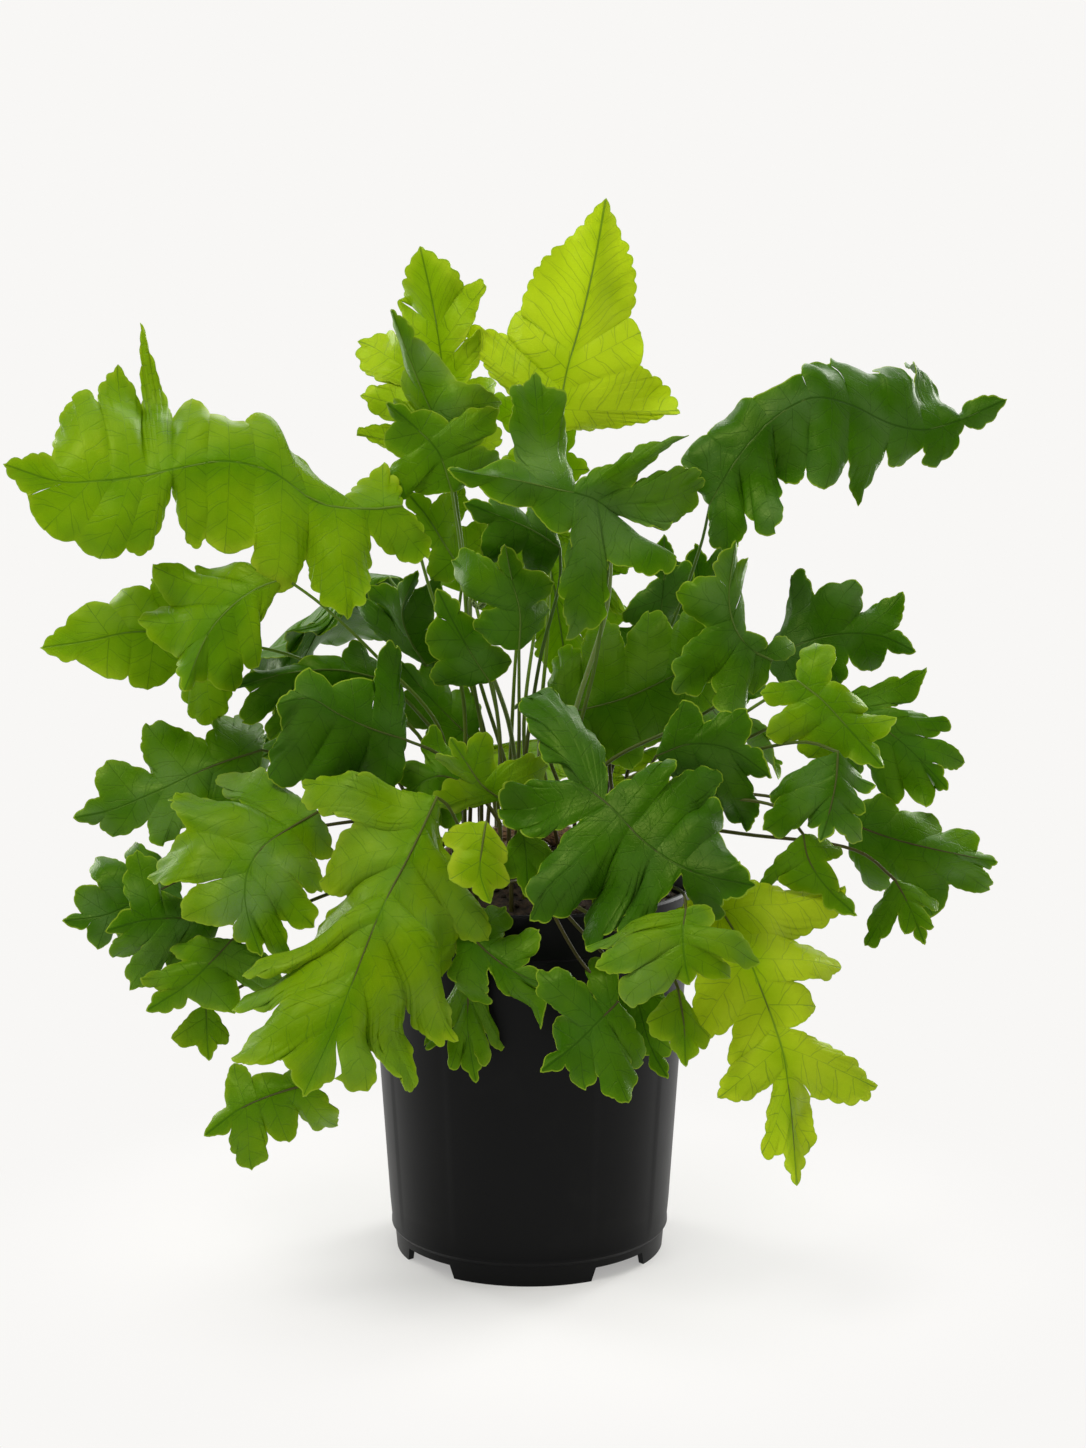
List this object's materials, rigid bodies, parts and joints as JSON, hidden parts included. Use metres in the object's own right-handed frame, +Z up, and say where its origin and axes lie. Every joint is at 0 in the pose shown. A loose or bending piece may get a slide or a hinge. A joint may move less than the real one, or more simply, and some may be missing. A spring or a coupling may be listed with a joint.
{
  "type": "potted davana fern",
  "caption": "Davana fern with lobed, wavy fronds on slender stipes, rising and arching from rhizomes in a dark nursery pot.",
  "frame": {"origin": "centre of the whole plant and pot in plan, at the plane its feet stand on; the pot's own axis is within 4 mm of it", "axes": "+Z up along the pot's axis, +X to the right and -Y towards the viewer of the side that is shown as the front"},
  "size_m": [0.4669, 0.3131, 0.505],
  "materials": {
    "pot": "near-black satin moulded plastic",
    "soil": "dark crumbly potting soil of peat and bark, matt",
    "rhizome": "brown-gold scaly rhizome, matt",
    "frond_young": "thin yellow-green frond that lets light through, dark green veins, satin",
    "frond_mature": "mid-green frond with a faint blue-grey bloom and a pale margin, satin",
    "frond_dark": "deep green frond with a faint blue-grey bloom and a pale margin, satin",
    "crozier": "soft green rolled frond with fine scales"
  },
  "bodies": {
    "root": {"pot": "pot", "soil": "soil", "rhizome": "rhizome", "frond_upper_left_long": "frond_young", "frond_left_light": "frond_young", "frond_left_pointed": "frond_mature", "frond_top_tall": "frond_young", "frond_top_left_tall": "frond_young", "frond_top_left_ruffled": "frond_mature", "frond_top_left_low": "frond_dark", "frond_centre_star": "frond_dark", "frond_centre_dark": "frond_dark", "frond_behind_tall": "frond_young", "frond_behind_left": "frond_young", "frond_right_long": "frond_dark", "frond_left_dark_low": "frond_mature", "frond_left_dark_mid": "frond_dark", "frond_left_mid_up": "frond_mature", "frond_left_mid_front": "frond_dark", "frond_centre_left_star": "frond_mature", "frond_centre_big": "frond_dark", "frond_back_right_tall": "frond_dark", "frond_back_right_broad": "frond_mature", "frond_right_star": "frond_mature", "frond_right_dark_back": "frond_dark", "frond_right_light": "frond_young", "frond_right_far": "frond_mature", "frond_right_inner": "frond_dark", "frond_right_mid_dark": "frond_dark", "frond_right_low": "frond_dark", "frond_right_drip": "frond_mature", "frond_right_low_hang": "frond_mature", "frond_front_right_big": "frond_mature", "frond_front_right_yellow": "frond_young", "frond_front_right_mid": "frond_mature", "frond_front_right_small": "frond_young", "frond_front_right_narrow": "frond_dark", "frond_front_dark": "frond_dark", "frond_front_fingers": "frond_dark", "frond_front_dark_left": "frond_mature", "frond_front_left_big": "frond_young", "frond_bottom_left": "frond_mature", "frond_left_mid_big": "frond_mature", "frond_left_far": "frond_mature", "frond_left_low": "frond_dark", "frond_left_low_front": "frond_young", "frond_left_low_hang": "frond_dark", "frond_left_small_hang": "frond_young", "frond_left_inner": "frond_dark", "frond_left_inner_low": "frond_dark", "frond_centre_pale": "frond_young", "frond_centre_ruffled": "frond_young", "frond_centre_low": "frond_dark", "frond_far_low_1": "frond_mature", "frond_far_low_2": "frond_young", "frond_far_low_3": "frond_mature", "frond_far_low_4": "frond_mature", "frond_far_high": "frond_young", "crozier_tall": "crozier", "crozier_short": "crozier"}
  },
  "joints": []
}
